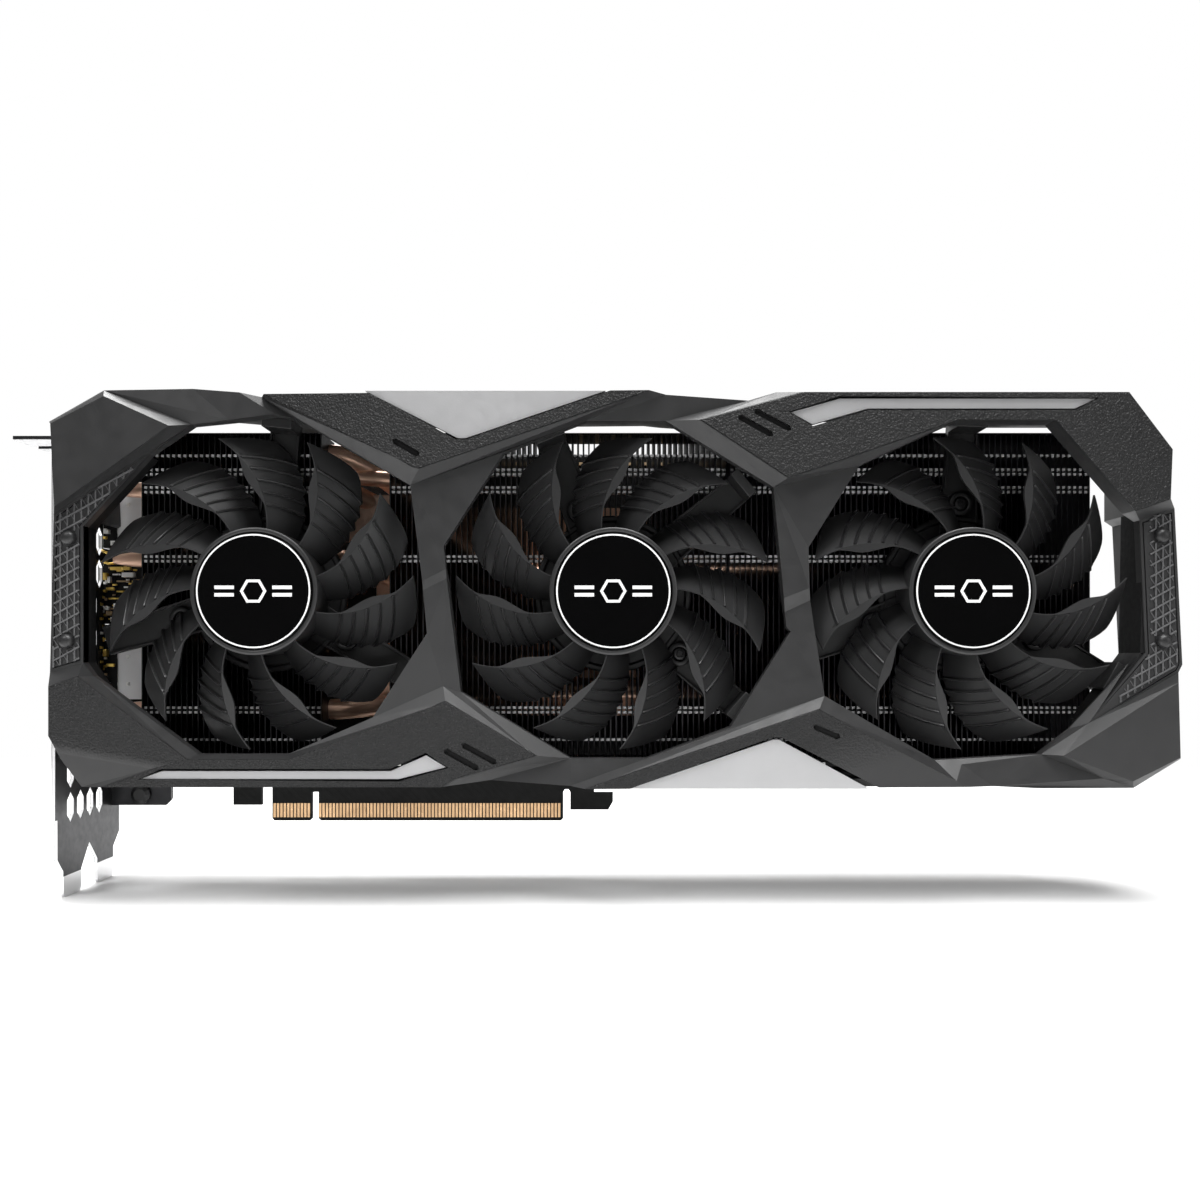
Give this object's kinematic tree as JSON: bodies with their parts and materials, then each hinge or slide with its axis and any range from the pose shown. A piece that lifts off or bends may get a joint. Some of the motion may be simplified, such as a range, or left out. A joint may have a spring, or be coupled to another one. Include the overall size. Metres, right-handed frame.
{
  "type": "graphics card",
  "caption": "Long computer expansion card with a faceted black fan shroud, spinning cooling fans, finned cooler, slot bracket and edge connector.",
  "frame": {"origin": "middle of the long contact tongue's bottom edge, in the middle of the board's thickness", "axes": "+X along the card away from the bracket, +Y from the fans to the back plate, +Z from the edge connector up"},
  "size_m": [0.303, 0.0492, 0.1325],
  "materials": {
    "board": "matt black solder mask",
    "chip": "satin",
    "socket_metal": "bright",
    "socket_plastic": "satin",
    "bracket_steel": "dark plated, bright at the tabs",
    "screw": "black",
    "backplate": "satin black",
    "copper": "bare copper",
    "fins": "plain",
    "shroud": "leather grain",
    "silver": "silver paint",
    "panel": "raised lattice",
    "fan": "satin",
    "stator": "enamelled windings",
    "magnet": "dark",
    "shaft": "ground",
    "badge": "gloss black with a white ring"
  },
  "bodies": {
    "card": {"circuit_board": "board", "gpu_package": "chip", "memory_chip_1": "chip", "memory_chip_2": "chip", "memory_chip_3": "chip", "memory_chip_4": "chip", "memory_chip_5": "chip", "memory_chip_6": "chip", "memory_chip_7": "chip", "memory_chip_8": "chip", "display_port_1": "socket_metal", "display_port_2": "socket_metal", "display_port_3": "socket_metal", "display_port_4": "socket_metal", "power_socket_1": "socket_plastic", "power_socket_2": "socket_plastic", "io_bracket": "bracket_steel", "bracket_screw": "screw", "backplate": "backplate", "base_plate": "copper", "fin_stack_left": "fins", "fin_stack_middle": "fins", "fin_stack_right": "fins", "heat_pipe_1": "copper", "heat_pipe_2": "copper", "heat_pipe_3": "copper", "heat_pipe_4": "copper", "heat_pipe_5": "copper", "shroud_frame": "shroud", "silver_insert_top": "silver", "silver_insert_bottom": "silver", "silver_strip_top": "silver", "silver_strip_bottom": "silver", "side_panel_left": "panel", "side_panel_right": "panel", "panel_screw_1": "screw", "panel_screw_2": "screw", "panel_screw_3": "screw", "panel_screw_4": "screw", "left_fan_frame": "fan", "left_fan_stator": "stator", "middle_fan_frame": "fan", "middle_fan_stator": "stator", "right_fan_frame": "fan", "right_fan_stator": "stator"},
    "left_rotor": {"left_fan_rotor": "fan", "left_fan_magnet_ring": "magnet", "left_fan_shaft": "shaft", "left_fan_badge": "badge"},
    "middle_rotor": {"middle_fan_rotor": "fan", "middle_fan_magnet_ring": "magnet", "middle_fan_shaft": "shaft", "middle_fan_badge": "badge"},
    "right_rotor": {"right_fan_rotor": "fan", "right_fan_magnet_ring": "magnet", "right_fan_shaft": "shaft", "right_fan_badge": "badge"}
  },
  "joints": [
    {"name": "left_fan_spin", "type": "hinge", "parent": "card", "child": "left_rotor", "pos_m": [-0.042, -0.0358, 0.0648], "axis": [0, 1, 0], "continuous": true},
    {"name": "middle_fan_spin", "type": "hinge", "parent": "card", "child": "middle_rotor", "pos_m": [0.05, -0.0358, 0.0648], "axis": [0, 1, 0], "continuous": true},
    {"name": "right_fan_spin", "type": "hinge", "parent": "card", "child": "right_rotor", "pos_m": [0.142, -0.0358, 0.0648], "axis": [0, 1, 0], "continuous": true}
  ]
}
